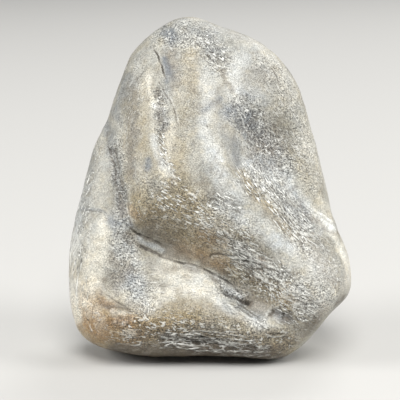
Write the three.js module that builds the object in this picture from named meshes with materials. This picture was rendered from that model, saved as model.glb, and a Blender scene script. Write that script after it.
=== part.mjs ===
// A gastrolith: one river-smooth stone, polished in a gizzard, standing on a small worn flat.
// Millimetres, +Z up. The broad face looks along -Y and leans back; the stone stands on Z = 0,
// centred on X = Y = 0.
//
// The stone is worked out square to its broad face: u runs right and v runs up across that face,
// from its middle, and heights are measured out of it. An outline closes the face, two domes swell
// out of it to the front and to the back, and ridges, folds and hollows are added to them.

import * as THREE from 'three';
import { ImprovedNoise } from 'three/addons/math/ImprovedNoise.js';
import { mergeVertices } from 'three/addons/utils/BufferGeometryUtils.js';

const { clamp, degToRad, lerp, mapLinear, smoothstep } = THREE.MathUtils;

// Driving sizes, millimetres.
const WIDTH = 58;
const DEPTH = 40;
const HEIGHT = 69;
const LEAN = degToRad(12);
const FRONT_SWELL = 14.5;
const BACK_SWELL = 19;
const FLAT_LEVEL = -33.9;       // where the underside is worn flat, square to the lean
const FLAT_ROUNDING = 0.35;     // how softly the flat meets the rest

// A dome rises as a power of how far a point of the ball faces out. Below 1 its middle is flatter
// and its sides are steeper, so the stone is boxier at the foot than at the tip.
const TIP_POWER = 0.85;
const FRONT_FOOT_POWER = 0.44;
const BACK_FOOT_POWER = 0.42;
const RIM_FADE = 0.42;          // how far in from the outline the relief reaches its full height

// The outline of the broad face, anticlockwise from the tip, as [u, v].
const OUTLINE = [
  [-4.8, 35.2], [-8.3, 34.1], [-13.5, 30.5], [-16.2, 27.5], [-17.5, 24.2], [-19.1, 20.1],
  [-20.6, 16.0], [-21.1, 14.0], [-22.3, 11.9], [-24.0, 7.9], [-26.1, -0.3], [-28.3, -9.0],
  [-28.9, -17.7], [-28.5, -24.8], [-27.3, -28.9], [-25.4, -31.0], [-21.2, -33.0], [-14.4, -34.4],
  [-2.1, -34.3], [6.0, -34.5], [12.2, -35.2], [16.3, -34.1], [20.3, -30.8], [24.3, -25.7],
  [28.4, -21.7], [28.9, -19.1], [28.3, -14.6], [26.9, -10.5], [25.1, -6.4], [24.4, -2.4],
  [22.4, 5.8], [18.6, 19.2], [17.1, 22.6], [14.3, 26.6], [10.1, 29.9], [6.0, 31.9], [1.4, 33.2],
  [-2.1, 34.9],
];
const OUTLINE_STEPS = 1440;
const KINK_TURN = 0.05;         // inside the outline its kinks are averaged over this angle, radians,
const KINK_TURNS = 3;           // and this many of them to either side

// Each feature of the relief follows a smooth line through its [u, v] points. The height is what it
// adds along that line, left and right are how far it spreads to either side of its own direction,
// and ends are the shares of its length over which it fades in and out. Ridges and hollows are
// round in section, and folds meet in a sharp line.
const ROUND = 2;
const FOLD = 1.15;
const LINE_STEPS = 40;
const FRONT_RELIEF = {
  bellyRidge: {
    height: 4.0, left: 4.6, right: 8.0, section: ROUND, ends: [0.4, 0],
    line: [[-3, 28], [0, 16], [2.5, 5], [7.5, -3.5], [16, -11.5], [26, -20]],
  },
  leftSwell: {
    height: 1.6, left: 5.5, right: 5.5, section: ROUND, ends: [0.4, 0.3],
    line: [[-12, 22], [-13, 11], [-11, 1], [-4, -7]],
  },
  slabFold: {
    height: -2.8, left: 2.6, right: 4.0, section: FOLD, ends: [0, 0.25],
    line: [[-22, 16], [-20.4, 9], [-19.2, 2], [-18.5, -3], [-16.5, -9]],
  },
  mainCrease: {
    height: -6.0, left: 6.0, right: 4.0, section: FOLD, ends: [0.2, 0.3],
    line: [[-18.5, -6], [-10.3, -13], [-6.2, -15], [-1.1, -16.8], [3, -19.3], [8, -23.5], [15, -28]],
  },
  bellyBrow: {
    height: 2.2, left: 6.0, right: 4.5, section: ROUND, ends: [0.3, 0.5],
    line: [[-16, -3.5], [-9, -5], [-2, -7.5], [4, -10.5], [9, -15]],
  },
  lowerBasin: {
    height: -1.4, left: 6.0, right: 5.5, section: ROUND, ends: [0.5, 0.4],
    line: [[-20, -8], [-18, -15], [-14, -20]],
  },
  slabEdge: {
    height: 1.5, left: 3.4, right: 4.4, section: ROUND, ends: [0.3, 0.2],
    line: [[-22.5, 5], [-23.2, -8], [-23.4, -20], [-21, -30]],
  },
  footRoll: {
    height: 2.8, left: 3.6, right: 6.5, section: ROUND, ends: [0.15, 0.2],
    line: [[-26, -24], [-20, -27.5], [-12, -27], [-3, -25.2], [4, -26], [10, -28.5], [18, -30.5]],
  },
  rightHollow: {
    height: -3.6, left: 6.5, right: 6.0, section: ROUND, ends: [0.5, 0.5],
    line: [[8, 19], [11.5, 9.5], [15.5, 0]],
  },
  rightTrough: {
    height: -2.6, left: 3.6, right: 3.6, section: ROUND, ends: [0.4, 0.3],
    line: [[11, 8], [14.5, 2], [18.5, -4], [23.5, -12]],
  },
  rightShoulder: {
    height: 1.0, left: 4.0, right: 4.0, section: ROUND, ends: [0.4, 0.4],
    line: [[13, 24], [19, 11], [24, -5]],
  },
  shoulderLip: {
    height: -1.2, left: 1.0, right: 3.0, section: FOLD, ends: [0.4, 0.1],
    line: [[16, 0], [18.5, -2.6], [22, -5.4], [26, -8]],
  },
  lowerRightSwell: {
    height: 2.4, left: 6.0, right: 6.0, section: ROUND, ends: [0.5, 0],
    line: [[12, -15], [19, -20], [25, -25]],
  },
  leftFold: {
    height: 0.8, left: 1.3, right: 3.5, section: FOLD, ends: [0.3, 0.3],
    line: [[-12.2, 21], [-11.6, 15], [-11, 9], [-9.5, 4]],
  },
  upperLeftTrough: {
    height: -1.0, left: 2.6, right: 2.6, section: ROUND, ends: [0.4, 0.4],
    line: [[-12, 24], [-10.8, 12], [-8.5, 1]],
  },
};

// The back, looked at through the stone from the front, so that u runs the same way.
const BACK_RELIEF = {
  backRidge: {
    height: 2.4, left: 6.0, right: 7.0, section: ROUND, ends: [0.3, 0.1],
    line: [[-12, 22], [-4, 4], [6, -12], [14, -26]],
  },
  backHollow: {
    height: -2.4, left: 5.0, right: 6.0, section: ROUND, ends: [0.4, 0.4],
    line: [[9, 18], [12, 8], [14, -2]],
  },
  backFold: {
    height: -2.6, left: 2.6, right: 4.2, section: FOLD, ends: [0.1, 0.4],
    line: [[-24, 6], [-17, -4], [-13, -12], [-12, -20]],
  },
  backHeel: {
    height: 2.0, left: 6.0, right: 6.0, section: ROUND, ends: [0.2, 0.2],
    line: [[-14, -30], [14, -30]],
  },
};

// The faces are never quite even: they rise and fall a little over about a centimetre.
const WAVE_HEIGHT = 0.45;
const WAVE_LENGTH = 9;
const WAVE_TURNOVER = 3;        // how fast the waves change from the front round to the back

const DIVISIONS = 19;           // of each edge of the ball, for 20 * (19 + 1)^2 triangles
const MERGE_DISTANCE = 1e-5;    // between vertices of the ball, whose radius is 1

// Lays a feature's points along its smooth line, with the share of its height reached at each.
function traced(feature) {
  const corners = feature.line.map(([u, v]) => new THREE.Vector3(u, v, 0));
  const points = new THREE.CatmullRomCurve3(corners).getSpacedPoints(LINE_STEPS);
  const [start, end] = feature.ends;
  const shares = points.map((_, i) => {
    const along = i / LINE_STEPS;
    const fadeIn = start ? smoothstep(along, 0, start) : 1;
    const fadeOut = end ? smoothstep(1 - along, 0, end) : 1;
    return fadeIn * fadeOut;
  });
  return { ...feature, points, shares };
}

// The height that a feature adds at u, v, from the nearest place on its line.
function featureHeight(u, v, { points, shares, height, left, right, section }) {
  let nearest = Infinity;
  let across = 0;
  let share = 0;
  for (let i = 0; i < LINE_STEPS; i++) {
    const from = points[i];
    const [du, dv] = [points[i + 1].x - from.x, points[i + 1].y - from.y];
    const t = clamp(((u - from.x) * du + (v - from.y) * dv) / (du * du + dv * dv), 0, 1);
    const [offU, offV] = [u - from.x - t * du, v - from.y - t * dv];
    const distance = Math.hypot(offU, offV);
    if (distance < nearest) {
      nearest = distance;
      const side = (du * offV - dv * offU) / (distance * Math.hypot(du, dv) || 1);
      across = distance / lerp(right, left, (1 + side) / 2);
      share = lerp(shares[i], shares[i + 1], t);
    }
  }
  return height * share * Math.exp(-(across ** section));
}

// The outline as angles around the middle of the face, each with its distance from there.
function outlineRing() {
  const corners = OUTLINE.map(([u, v]) => new THREE.Vector3(u, v, 0));
  const points = new THREE.CatmullRomCurve3(corners, true, 'centripetal').getPoints(OUTLINE_STEPS);
  const ring = points.slice(1).map((p) => [Math.atan2(p.y, p.x), Math.hypot(p.x, p.y)]);
  ring.sort((a, b) => a[0] - b[0]);
  const [first, last] = [ring[0], ring[ring.length - 1]];
  return [[last[0] - 2 * Math.PI, last[1]], ...ring, [first[0] + 2 * Math.PI, first[1]]];
}

const ring = outlineRing();
const frontFeatures = Object.values(FRONT_RELIEF).map(traced);
const backFeatures = Object.values(BACK_RELIEF).map(traced);
const noise = new ImprovedNoise();

function outlineRadius(angle) {
  const turned = Math.atan2(Math.sin(angle), Math.cos(angle));
  let low = 0;
  let high = ring.length - 1;
  while (high - low > 1) {
    const middle = (low + high) >> 1;
    if (ring[middle][0] <= turned) low = middle;
    else high = middle;
  }
  return mapLinear(turned, ring[low][0], ring[high][0], ring[low][1], ring[high][1]);
}

// The outline with its kinks smoothed away.
function softRadius(angle) {
  let sum = 0;
  for (let turn = -KINK_TURNS; turn <= KINK_TURNS; turn++) sum += outlineRadius(angle + turn * KINK_TURN);
  return sum / (2 * KINK_TURNS + 1);
}

// Moves a point of the ball to its place on the stone, before the lean.
function place(point) {
  const angle = Math.atan2(point.z, point.x);
  const outward = Math.abs(point.y);
  const front = point.y < 0;
  const fade = smoothstep(outward, 0, RIM_FADE);
  const reach = Math.hypot(point.x, point.z) * lerp(outlineRadius(angle), softRadius(angle), fade);
  const u = reach * Math.cos(angle);
  const v = reach * Math.sin(angle);
  const power = mapLinear(point.z, -1, 1, front ? FRONT_FOOT_POWER : BACK_FOOT_POWER, TIP_POWER);
  const swell = (front ? FRONT_SWELL : BACK_SWELL) * outward ** power;
  const features = front ? frontFeatures : backFeatures;
  const relief = features.reduce((sum, feature) => sum + featureHeight(u, v, feature), 0);
  const wave = WAVE_HEIGHT * noise.noise(u / WAVE_LENGTH, point.y * WAVE_TURNOVER, v / WAVE_LENGTH);
  const height = swell + fade * (relief + wave);
  point.set(u, front ? -height : height, v);
}

// Wears the underside to a flat with a soft edge.
function worn(z) {
  const over = z - FLAT_LEVEL;
  if (over >= FLAT_ROUNDING) return z;
  if (over <= -FLAT_ROUNDING) return FLAT_LEVEL;
  return FLAT_LEVEL + (over + FLAT_ROUNDING) ** 2 / (4 * FLAT_ROUNDING);
}

// Stands the stone on Z = 0, centred in X and Y, at exactly its size.
function fitToSize(geometry) {
  geometry.computeBoundingBox();
  const { min, max } = geometry.boundingBox;
  geometry.translate(-(min.x + max.x) / 2, -(min.y + max.y) / 2, -min.z);
  geometry.scale(WIDTH / (max.x - min.x), DEPTH / (max.y - min.y), HEIGHT / (max.z - min.z));
}

function stoneGeometry() {
  const ball = new THREE.IcosahedronGeometry(1, DIVISIONS);
  ball.deleteAttribute('normal');
  ball.deleteAttribute('uv');
  const geometry = mergeVertices(ball, MERGE_DISTANCE);
  const positions = geometry.getAttribute('position');
  const point = new THREE.Vector3();
  for (let i = 0; i < positions.count; i++) {
    point.fromBufferAttribute(positions, i).normalize();
    place(point);
    positions.setXYZ(i, point.x, point.y, point.z);
  }
  geometry.rotateX(-LEAN);
  for (let i = 0; i < positions.count; i++) positions.setZ(i, worn(positions.getZ(i)));
  fitToSize(geometry);
  geometry.computeVertexNormals();
  return geometry;
}

function stone() {
  const material = new THREE.MeshStandardMaterial({ color: 0xa99d8b, roughness: 0.5, metalness: 0 });
  const mesh = new THREE.Mesh(stoneGeometry(), material);
  mesh.name = 'gastrolith';
  return mesh;
}

const part = new THREE.Group();
part.add(stone());

export default part;
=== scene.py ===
"""The gastrolith's looks: one river-smooth stone, polished in a gizzard, on a pale studio floor."""

import math

import bmesh
import bpy
import numpy as np
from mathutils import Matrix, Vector, noise


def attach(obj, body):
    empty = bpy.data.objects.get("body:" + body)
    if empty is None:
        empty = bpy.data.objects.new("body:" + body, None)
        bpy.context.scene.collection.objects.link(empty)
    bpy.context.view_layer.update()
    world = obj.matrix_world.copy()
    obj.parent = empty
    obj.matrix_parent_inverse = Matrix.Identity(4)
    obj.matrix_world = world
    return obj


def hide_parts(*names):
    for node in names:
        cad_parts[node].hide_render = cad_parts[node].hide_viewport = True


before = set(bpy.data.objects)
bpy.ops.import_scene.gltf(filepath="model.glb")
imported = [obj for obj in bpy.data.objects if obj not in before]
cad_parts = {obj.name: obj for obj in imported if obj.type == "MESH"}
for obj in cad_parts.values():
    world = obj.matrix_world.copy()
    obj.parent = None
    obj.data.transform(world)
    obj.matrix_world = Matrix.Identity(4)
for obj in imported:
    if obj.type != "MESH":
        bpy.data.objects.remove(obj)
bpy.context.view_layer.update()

MM = 0.001

# The broad face looks along -Y and leans back. Marks on it are laid out as they are seen from an
# eye straight in front of its middle: millimetres to the right and up, in the plane of the face.
LEAN = math.radians(12)
FACE_MIDDLE = Vector((-2.1, 0, 31.5)) * MM
FACE_OUT = Vector((0, -math.cos(LEAN), math.sin(LEAN)))
FACE_UP = Vector((0, math.sin(LEAN), math.cos(LEAN)))
EYE_DISTANCE = 300 * MM
LENS = 130.1

# Marks. Each has its half width and its strength, or its depth or height, in millimetres, and then
# the places that its line runs through: how far to the right and how far up, in turn.
CRACKS = {
    "upper split": (0.17, 0.5, -9.7, 32.2, -9, 30.3, -8.2, 28.6, -7.7, 26.9, -7, 24.9),
    "split tail": (0.1, 0.15, -8.7, 24.7, -7.7, 23.2, -7.1, 22.4),
    "left nick": (0.1, 0.15, -11.1, 27.4, -12.2, 25.9, -13.3, 24.9),
    "middle nick": (0.11, 0.2, 0.4, 16.7, 1.2, 15.4, 2.3, 14.8),
    "hair line": (0.1, 0.12, -6.4, 3.5, -5.8, 4.2, -5, 4.6),
    "overhang": (0.24, 0.4, -14.9, -5.4, -13.7, -6.5, -12.2, -7.4, -10.1, -8.1, -7.1, -9.8),
    "crease": (0.19, 0.42, -8.6, -11.4, -6.7, -12.3, -3.7, -13.1, -2.1, -13.3, 0.2, -13.9),
    "lower crease": (0.2, 0.36, -0.6, -13.6, 2.8, -15.4, 4.3, -16.1, 6.5, -17.6, 8.7, -19.5, 9.8, -20.6),
    "wedge crack": (0.2, 0.5, -13.4, -9.2, -12.2, -9.6, -11.3, -10, -10.1, -10.7),
    "wedge tail": (0.24, 0.55, -10.8, -10.3, -9.7, -10.9, -8.7, -11.3, -7.6, -11.8),
    "under wedge": (0.22, 0.45, 4.4, -19, 5.4, -19.8, 6.9, -20.2, 8.7, -21.2, 10, -21.3),
    "crease pit": (0.42, 0.9, 9.5, -21.1, 10.5, -21.5),
    "forked crack": (0.19, 0.36, 1.9, -12.5, 2.2, -11.5, 3.5, -11.3, 5.2, -11.5, 6.8, -11.6, 7.9, -12),
    "dark slot": (0.26, 0.6, 8.8, -12.5, 9.8, -12.7, 10.5, -12.8),
    "comma": (0.26, 0.6, 15.3, -22.7, 14.8, -23.6, 14, -24.1),
    "right pit": (0.24, 0.5, 16.9, -23.3, 17.4, -24.8),
    "foot nick": (0.12, 0.25, 18.1, -29.1, 18.9, -30.5),
    "corner scratch": (0.12, 0.25, -23.9, -24.4, -22.8, -25.5),
    "over the lump": (0.16, 0.14, -19.6, -22.7, -18.7, -22.2, -17.3, -22.2, -15.8, -22.4),
    "lip line": (0.13, 0.2, 7.9, -21.5, 10, -23, 12, -24.3),
    "low lip line": (0.13, 0.2, 6.2, -21.6, 8.9, -23.2, 10.8, -24.5),
    "slab line": (0.12, 0.14, -24.7, -2.1, -22.4, -2.3, -19.7, -2.9),
    "foot band": (0.2, 0.3, -6.6, -29.1, -2.1, -29.7, 3.1, -30.1, 8.3, -30.9),
    "upper foot band": (0.18, 0.25, -3.1, -28.2, 1, -28.6, 6.2, -29.3),
    "lip hollow": (0.12, 0.25, 13.7, -27.4, 15.8, -27.8, 18.1, -27.6),
    "fold line": (0.18, 0.26, -19.3, 14, -18.8, 10, -17.9, 6.3, -17.5, 2.9, -16.2, -0.4),
    "body end": (0.18, 0.25, -15.6, 1.5, -15.2, -0.8, -14.8, -3.2, -14.4, -5.4),
    "basin edge": (0.16, 0.15, -20.1, -19.1, -18.1, -20.6, -16.3, -21.7, -14.9, -22.7, -13.8, -23.6),
    "shoulder stria": (0.13, 0.12, 12.2, 30.7, 14.2, 28.2, 15.6, 26.2, 16.7, 22.5),
    "next stria": (0.12, 0.1, 13.8, 31, 16.5, 27.5, 18.3, 24.5),
    "top groove": (0.2, 0.2, 0.7, 30.6, 2.4, 29.2, 4, 28),
    "left top groove": (0.16, 0.15, -1.6, 33.3, 0.6, 31.4, 2.8, 30.4),
    "spindle line": (0.12, 0.15, -8, 23, -6.1, 20.3, -5, 17.3, -4.5, 15),
    "wedge pit": (0.2, 0.4, 5.3, -19, 5.9, -19.5),
    "next wedge pit": (0.22, 0.45, 6.5, -20, 7.2, -20.2),
}
LEDGES = {
    "short white": (0.19, 0.16, -2.7, 1.5, -1.7, 1.2, -0.6, 0.4),
    "slanting white": (0.19, 0.18, 4.6, -5.8, 5.4, -6.6, 6.7, -8),
    "below it": (0.19, 0.16, 8.3, -10.4, 10.2, -11.3),
    "under the slot": (0.19, 0.15, 7.6, -12.8, 9.3, -13.1, 11.1, -13.4),
    "slot right": (0.19, 0.12, 13.9, -13.6, 16, -14.2),
    "split ledge": (0.12, 0.08, -7.8, 23.2, -5.8, 20.5, -4.7, 17.4, -4.2, 14.9),
    "foot wave": (0.11, 0.12, -7.2, -28.6, -4.8, -30.4, -2.5, -30.9, 0, -30.7),
    "left foot wave": (0.11, 0.1, -16.3, -29.8, -13.2, -30.1, -11.5, -29.6, -8.4, -30),
    "middle foot wave": (0.11, 0.1, -4.2, -27.4, 0, -27.1, 5.2, -27.7, 10.4, -28.7),
    "right foot wave": (0.11, 0.1, 2.1, -29.3, 5.8, -30.1, 9.3, -31.1),
    "corner white": (0.12, 0.1, -23.2, -25.9, -22.2, -27.4),
    "patch white": (0.19, 0.1, 2.9, 0.8, 4.6, 1.3, 5.4, 0.8, 6.4, -0.6),
    "foot right white": (0.13, 0.1, 13.3, -28.1, 15.8, -28.3, 18.7, -27.8),
    "shoulder line": (0.3, 0.08, 20.6, 0.6, 22.6, -1.4, 25, -3, 27.8, -5),
    "lip crest": (0.3, 0.06, 3.4, -20, 6.5, -22.5, 10.2, -24.6, 13.9, -26.1, 17.3, -26.3, 19.9, -25.1),
    "belly wrinkle": (0.2, 0.15, 2.2, -4.6, 3.4, -5.6, 4.4, -7),
    "long wrinkle": (0.2, 0.16, 4.4, -11.2, 7, -11.9, 10.5, -12.5, 14.5, -13.5, 16.2, -14),
    "low wrinkle": (0.2, 0.16, 10.5, -15, 13, -16.4, 15.8, -18),
    "lower wrinkle": (0.18, 0.14, 12.6, -13.9, 15.6, -16, 18.6, -19),
}
BUMPS = {
    "wedge": (0.75, 0.26, -13.2, -7.9, -11.5, -8.8, -9.5, -9.8, -8.2, -10.5),
    "second wedge": (0.9, 0.3, 4.6, -17.8, 6.6, -18.8, 8.8, -20.3),
    "lip": (1.4, 0.3, 3.4, -20, 6.5, -22.5, 10.2, -24.7, 13.9, -26.2, 17.3, -26.4, 19.9, -25.1),
    "lump": (0.95, 0.26, -17.9, -23.2, -16, -23.6),
    "lower lump": (0.7, 0.16, -14.7, -27.4, -13.8, -27.5),
    "corner knob": (0.9, 0.15, -24.2, -21.2, -23.8, -21.6),
    "trough ridge": (1.4, 0.22, 20.3, 1, 22.6, -1.4, 25, -3, 27.8, -5),
    "saddle edge": (2.4, 0.36, -8, -14, -4.5, -15.6, -1, -16.5, 2, -18.2),
    "basin edge": (2.2, 0.35, -16, -10.5, -13, -12, -9.5, -13.4),
    "below the lump": (0.9, 0.2, -17.6, -25.2, -15.6, -25.6),
}
DENTS = {
    "spindle": (1.1, 0.18, -8.3, 22.5, -8.4, 17.5, -8, 14.5),
    "fold": (1, 0.4, -18.2, 10, -17.2, 5, -16.4, 1, -15.8, -3),
    "fold foot": (1.3, 0.2, -15.8, -3, -15.4, -6.5, -14.6, -8),
    "top groove": (0.9, 0.15, 3.3, 29.2, 5.2, 25.3, 6.7, 22.8),
    "top pit": (1.8, 0.1, 1, 32.2, 3, 30.2),
    "right pit": (1.2, 0.4, 16.3, -23.4, 18.3, -24.4),
    "under the lump": (0.6, 0.06, -18.9, -22.3, -17.3, -21.7, -15.2, -22.6, -14.4, -24.6),
    "foot groove": (0.8, 0.35, -8, -28.9, -2, -29.6, 5, -30, 11, -31),
}
SLATE = {
    "fold": (1.3, 0.54, -19.3, 15.8, -18.7, 12, -17.6, 7.1, -16.8, 2.1, -16.2, -1.7),
    "fold foot": (1.87, 0.2, -16.8, -1.7, -16.4, -5.8, -16.2, -9.3),
    "basin": (2.7, 0.2, -16.2, -11.4, -14.9, -15.6, -13.7, -19.1),
    "basin floor": (2.08, 0.2, -12.5, -17.6, -12, -21.2),
    "left margin": (1.4, 0.6, -15.1, 24.9, -16.2, 21.6, -17.4, 17.8),
    "trough top": (0.9, 0.35, -8.2, 22.3, -7.4, 20.6),
    "trough patch": (1.3, 0.5, -8.6, 17.4, -7.6, 15.9),
    "blue patch": (1.04, 1, -7.1, 29.5, -6.5, 27.3, -6.6, 25.2),
    "blue spot": (1.25, 0.85, -6, 34.7, -5.6, 33.2),
    "blue haze": (1.04, 0.5, -7.7, 35.7, -6.6, 35.1),
    "blue streak": (0.83, 0.7, 0.6, 18.9, 2.5, 19.9, 3.9, 21),
    "top flecks": (1.8, 0.3, 0.6, 32.8, 2.5, 31.1, 4.2, 29.7),
    "hollow": (3.2, 0.72, 10.2, 16, 12.4, 12.5, 14.3, 9),
    "hollow brow": (2.2, 0.9, 6.5, 18.5, 9, 17),
    "hollow right": (1.87, 0.1, 15.6, 10, 17.8, 12.9),
    "hollow left": (1.25, 0.7, 6.8, 12.5, 8.3, 7.9),
    "trough tail": (2.28, 0.25, 14.5, 6.6, 17.6, 1.7, 21.2, -5),
    "trough end": (1.66, 0.3, 19.1, 0.4, 22, -5.4, 24.9, -9.5),
    "belly patch": (1.76, 0.35, 3.1, 0.4, 5.8, -0.6, 7.9, -1.2),
    "left spot": (0.75, 0.9, -10.8, 8.3, -10.8, 6.2),
    "middle spot": (1.04, 0.3, 0.8, 7.1, 2.1, 5.8),
    "crease end": (0.9, 0.5, 5, -18.3, 7, -19.2, 9.3, -20.8),
    "lip": (1.04, 0.5, 8.3, -22.4, 12, -24.5),
    "wrinkle patch": (1.66, 0.5, 8.3, -9.5, 10.4, -12.9),
    "wrinkle run": (1.87, 0.3, 7.9, -11.2, 11.6, -14.5, 15.8, -15.8),
    "wrinkle spot": (1.04, 0.5, 17, -14.5, 17.8, -14.9),
    "right pit patch": (1.45, 0.85, 16, -23.2, 18.7, -24.5),
    "foot": (1.66, 0.95, -6.6, -28.8, 0, -30.1, 7.3, -30.5),
    "foot right": (1.45, 0.8, 7.3, -30.5, 13.3, -31.8),
    "slab streak": (1.66, 0.3, -22.4, 8.7, -23.7, 2.1, -24.9, -5.2),
    "top haze": (2.6, 0.4, -6, 36, 0, 35, 3, 31),
    "wedge": (0.7, 0.3, -13, -8, -11.5, -8.9, -9.5, -9.8, -7.6, -10.8),
    "fold foot left": (1.1, 0.5, -18.3, -2.5, -18.2, -6),
    "fold slab": (1.2, 0.7, -19, -4, -16.5, -4.4, -14.5, -4.6),
    "slab line": (0.5, 0.6, -24.6, -2, -22.4, -2.3, -20, -2.9),
    "basin top": (1.1, 0.1, -16, -11.3, -13.8, -11.6),
    "basin middle": (1.5, 0.5, -15, -16.2, -12.5, -17),
    "ridge side": (1.2, 0.4, 4.3, 20, 4.6, 15, 5.8, 10, 7.5, 7.6),
    "left flank": (1.3, 0.3, -13.6, 25, -13.3, 17, -14, 10, -14.2, 2),
    "upper": (5, 0.12, -8, 33, -3, 26, 3, 22),
    "olive": (1.3, 0.35, 13.5, -2.5, 16, -5),
    "right side": (2, 0.12, 21.5, -12, 24, -14.5),
    "hollow top": (1.8, 0.4, 9.5, 21, 12.5, 20.3),
    "spindle side": (0.9, 0.3, -6.6, 23, -6.2, 21),
    "upper right": (3, 0.3, 3, 35, 8, 32.5, 11.5, 27, 11, 23),
    "basin low": (1.3, 0.4, -17, -18, -14.5, -18.8),
}
TAN = {
    "upper": (2.28, 0.52, -2.1, 29.5, -2.5, 26.6, -0.8, 23.2),
    "trough left": (2.08, 0.45, -12.5, 20.8, -12, 14.5, -12.9, 9.3),
    "middle": (3.74, 0.6, -7.3, 10.4, -5.2, 5.2, -2.1, 0),
    "belly shoulder": (2.49, 0.4, -13.3, 4.6, -12.5, 0.4),
    "under left": (1.8, 0.6, -13.2, 0.2, -13, -1.5, -12.3, -3.9),
    "under": (2.7, 0.7, -10.4, -2.7, -5.2, -6.2, 1, -9.1, 7.3, -12.9),
    "lower right": (4.6, 0.62, 9.3, -14.5, 13, -16.5, 17, -18.5, 20, -22),
    "belly right": (2.08, 0.2, 11.4, -8.3, 17.6, -12.9),
    "foot left": (2.7, 0.8, -21.8, -23.9, -14.5, -25.7, -6.2, -24.3, -1.5, -24.4),
    "foot right": (2.49, 0.15, 3.1, -25.3, 10.4, -28, 17.6, -29.1),
    "corner": (3.6, 1, -24.5, -20, -23, -25, -19.5, -28, -15, -27.5),
    "shoulder": (1.87, 0.1, 21.2, 10.4, 23.2, 4.2),
    "olive strip": (1.25, 0.7, 9.3, 6.2, 12, 1, 14.5, -2.5),
    "olive end": (1.66, 0.65, 14.5, -3.1, 18.7, -7.3),
    "right corner": (1.66, 0.2, 27, -17.6, 30.1, -18.7),
    "left flank": (1.6, 0.2, -14, 25, -14.5, 18, -15, 10, -14.5, 3),
    "foot": (3.2, 0.6, -20, -29, -8, -30, 6, -30.5, 18, -30),
    "right edge": (2.4, 0.15, 22.5, -9, 25, -13, 27, -17),
    "ridge side": (1.3, 0.4, 5.5, 15, 6, 13, 8, 7, 11, 2),
    "foot top": (2.2, 0.5, -19, -21.5, -10, -23.5, 0, -22.5, 8, -25.5),
    "lower belly": (3, 0.6, -8, -1, 2, -4, 8, -8),
    "corner glow": (3, 0.75, -25.5, -17, -24.5, -22),
    "foot middle": (2.4, 0.9, -16, -26.8, -4, -27),
    "upper middle": (2.5, 0.22, -4, 22, -3.5, 12),
    "saddle": (3.2, 0.18, -8, -16, 2, -18.5),
    "right low": (2.5, 0.3, 18, -19, 24, -22),
    "belly": (2, 0.4, 2, -6, 5, -9),
    "wrinkle spot": (1.2, 0.6, 11.5, -12.3, 13.3, -12.8),
}
RUST = {
    "spot": (1.4, 0.9, -17.8, -25, -15.2, -25.3),
    "above the spot": (1.1, 0.75, -20, -21.4, -18.4, -22.1),
    "under": (2.3, 0.5, -3.5, -10.6, 0.5, -11.4, 4.5, -13),
    "under left": (1.04, 0.35, -14.1, -2.1, -12.9, -3.1),
    "corner": (2.2, 0.3, -25.3, -20.5, -23.5, -25, -20, -28),
    "foot": (1.25, 0.15, 12.9, -30.3, 15.6, -31.1),
    "corner glow": (2, 0.15, -25, -18, -24, -22, -20, -26),
    "foot top": (1.6, 0.15, -14, -24.5, -6, -25, 2, -25.5),
    "wrinkle spot": (1.2, 0.8, 11.8, -12.8, 13.2, -13.3),
    "foot middle": (2, 0.2, -14, -27.5, -6, -27.5),
    "corner broad": (4, 0.5, -24, -20, -22, -26, -15, -28),
    "belly": (2, 0.42, 1, -7, 5, -9),
    "corner low": (2, 0.35, -24.5, -24.5, -21, -27.5),
    "right low": (2.5, 0.32, 18, -19, 24, -22),
    "corner top": (2, 0.25, -23.8, -18.5, -23, -23.5),
}
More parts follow.
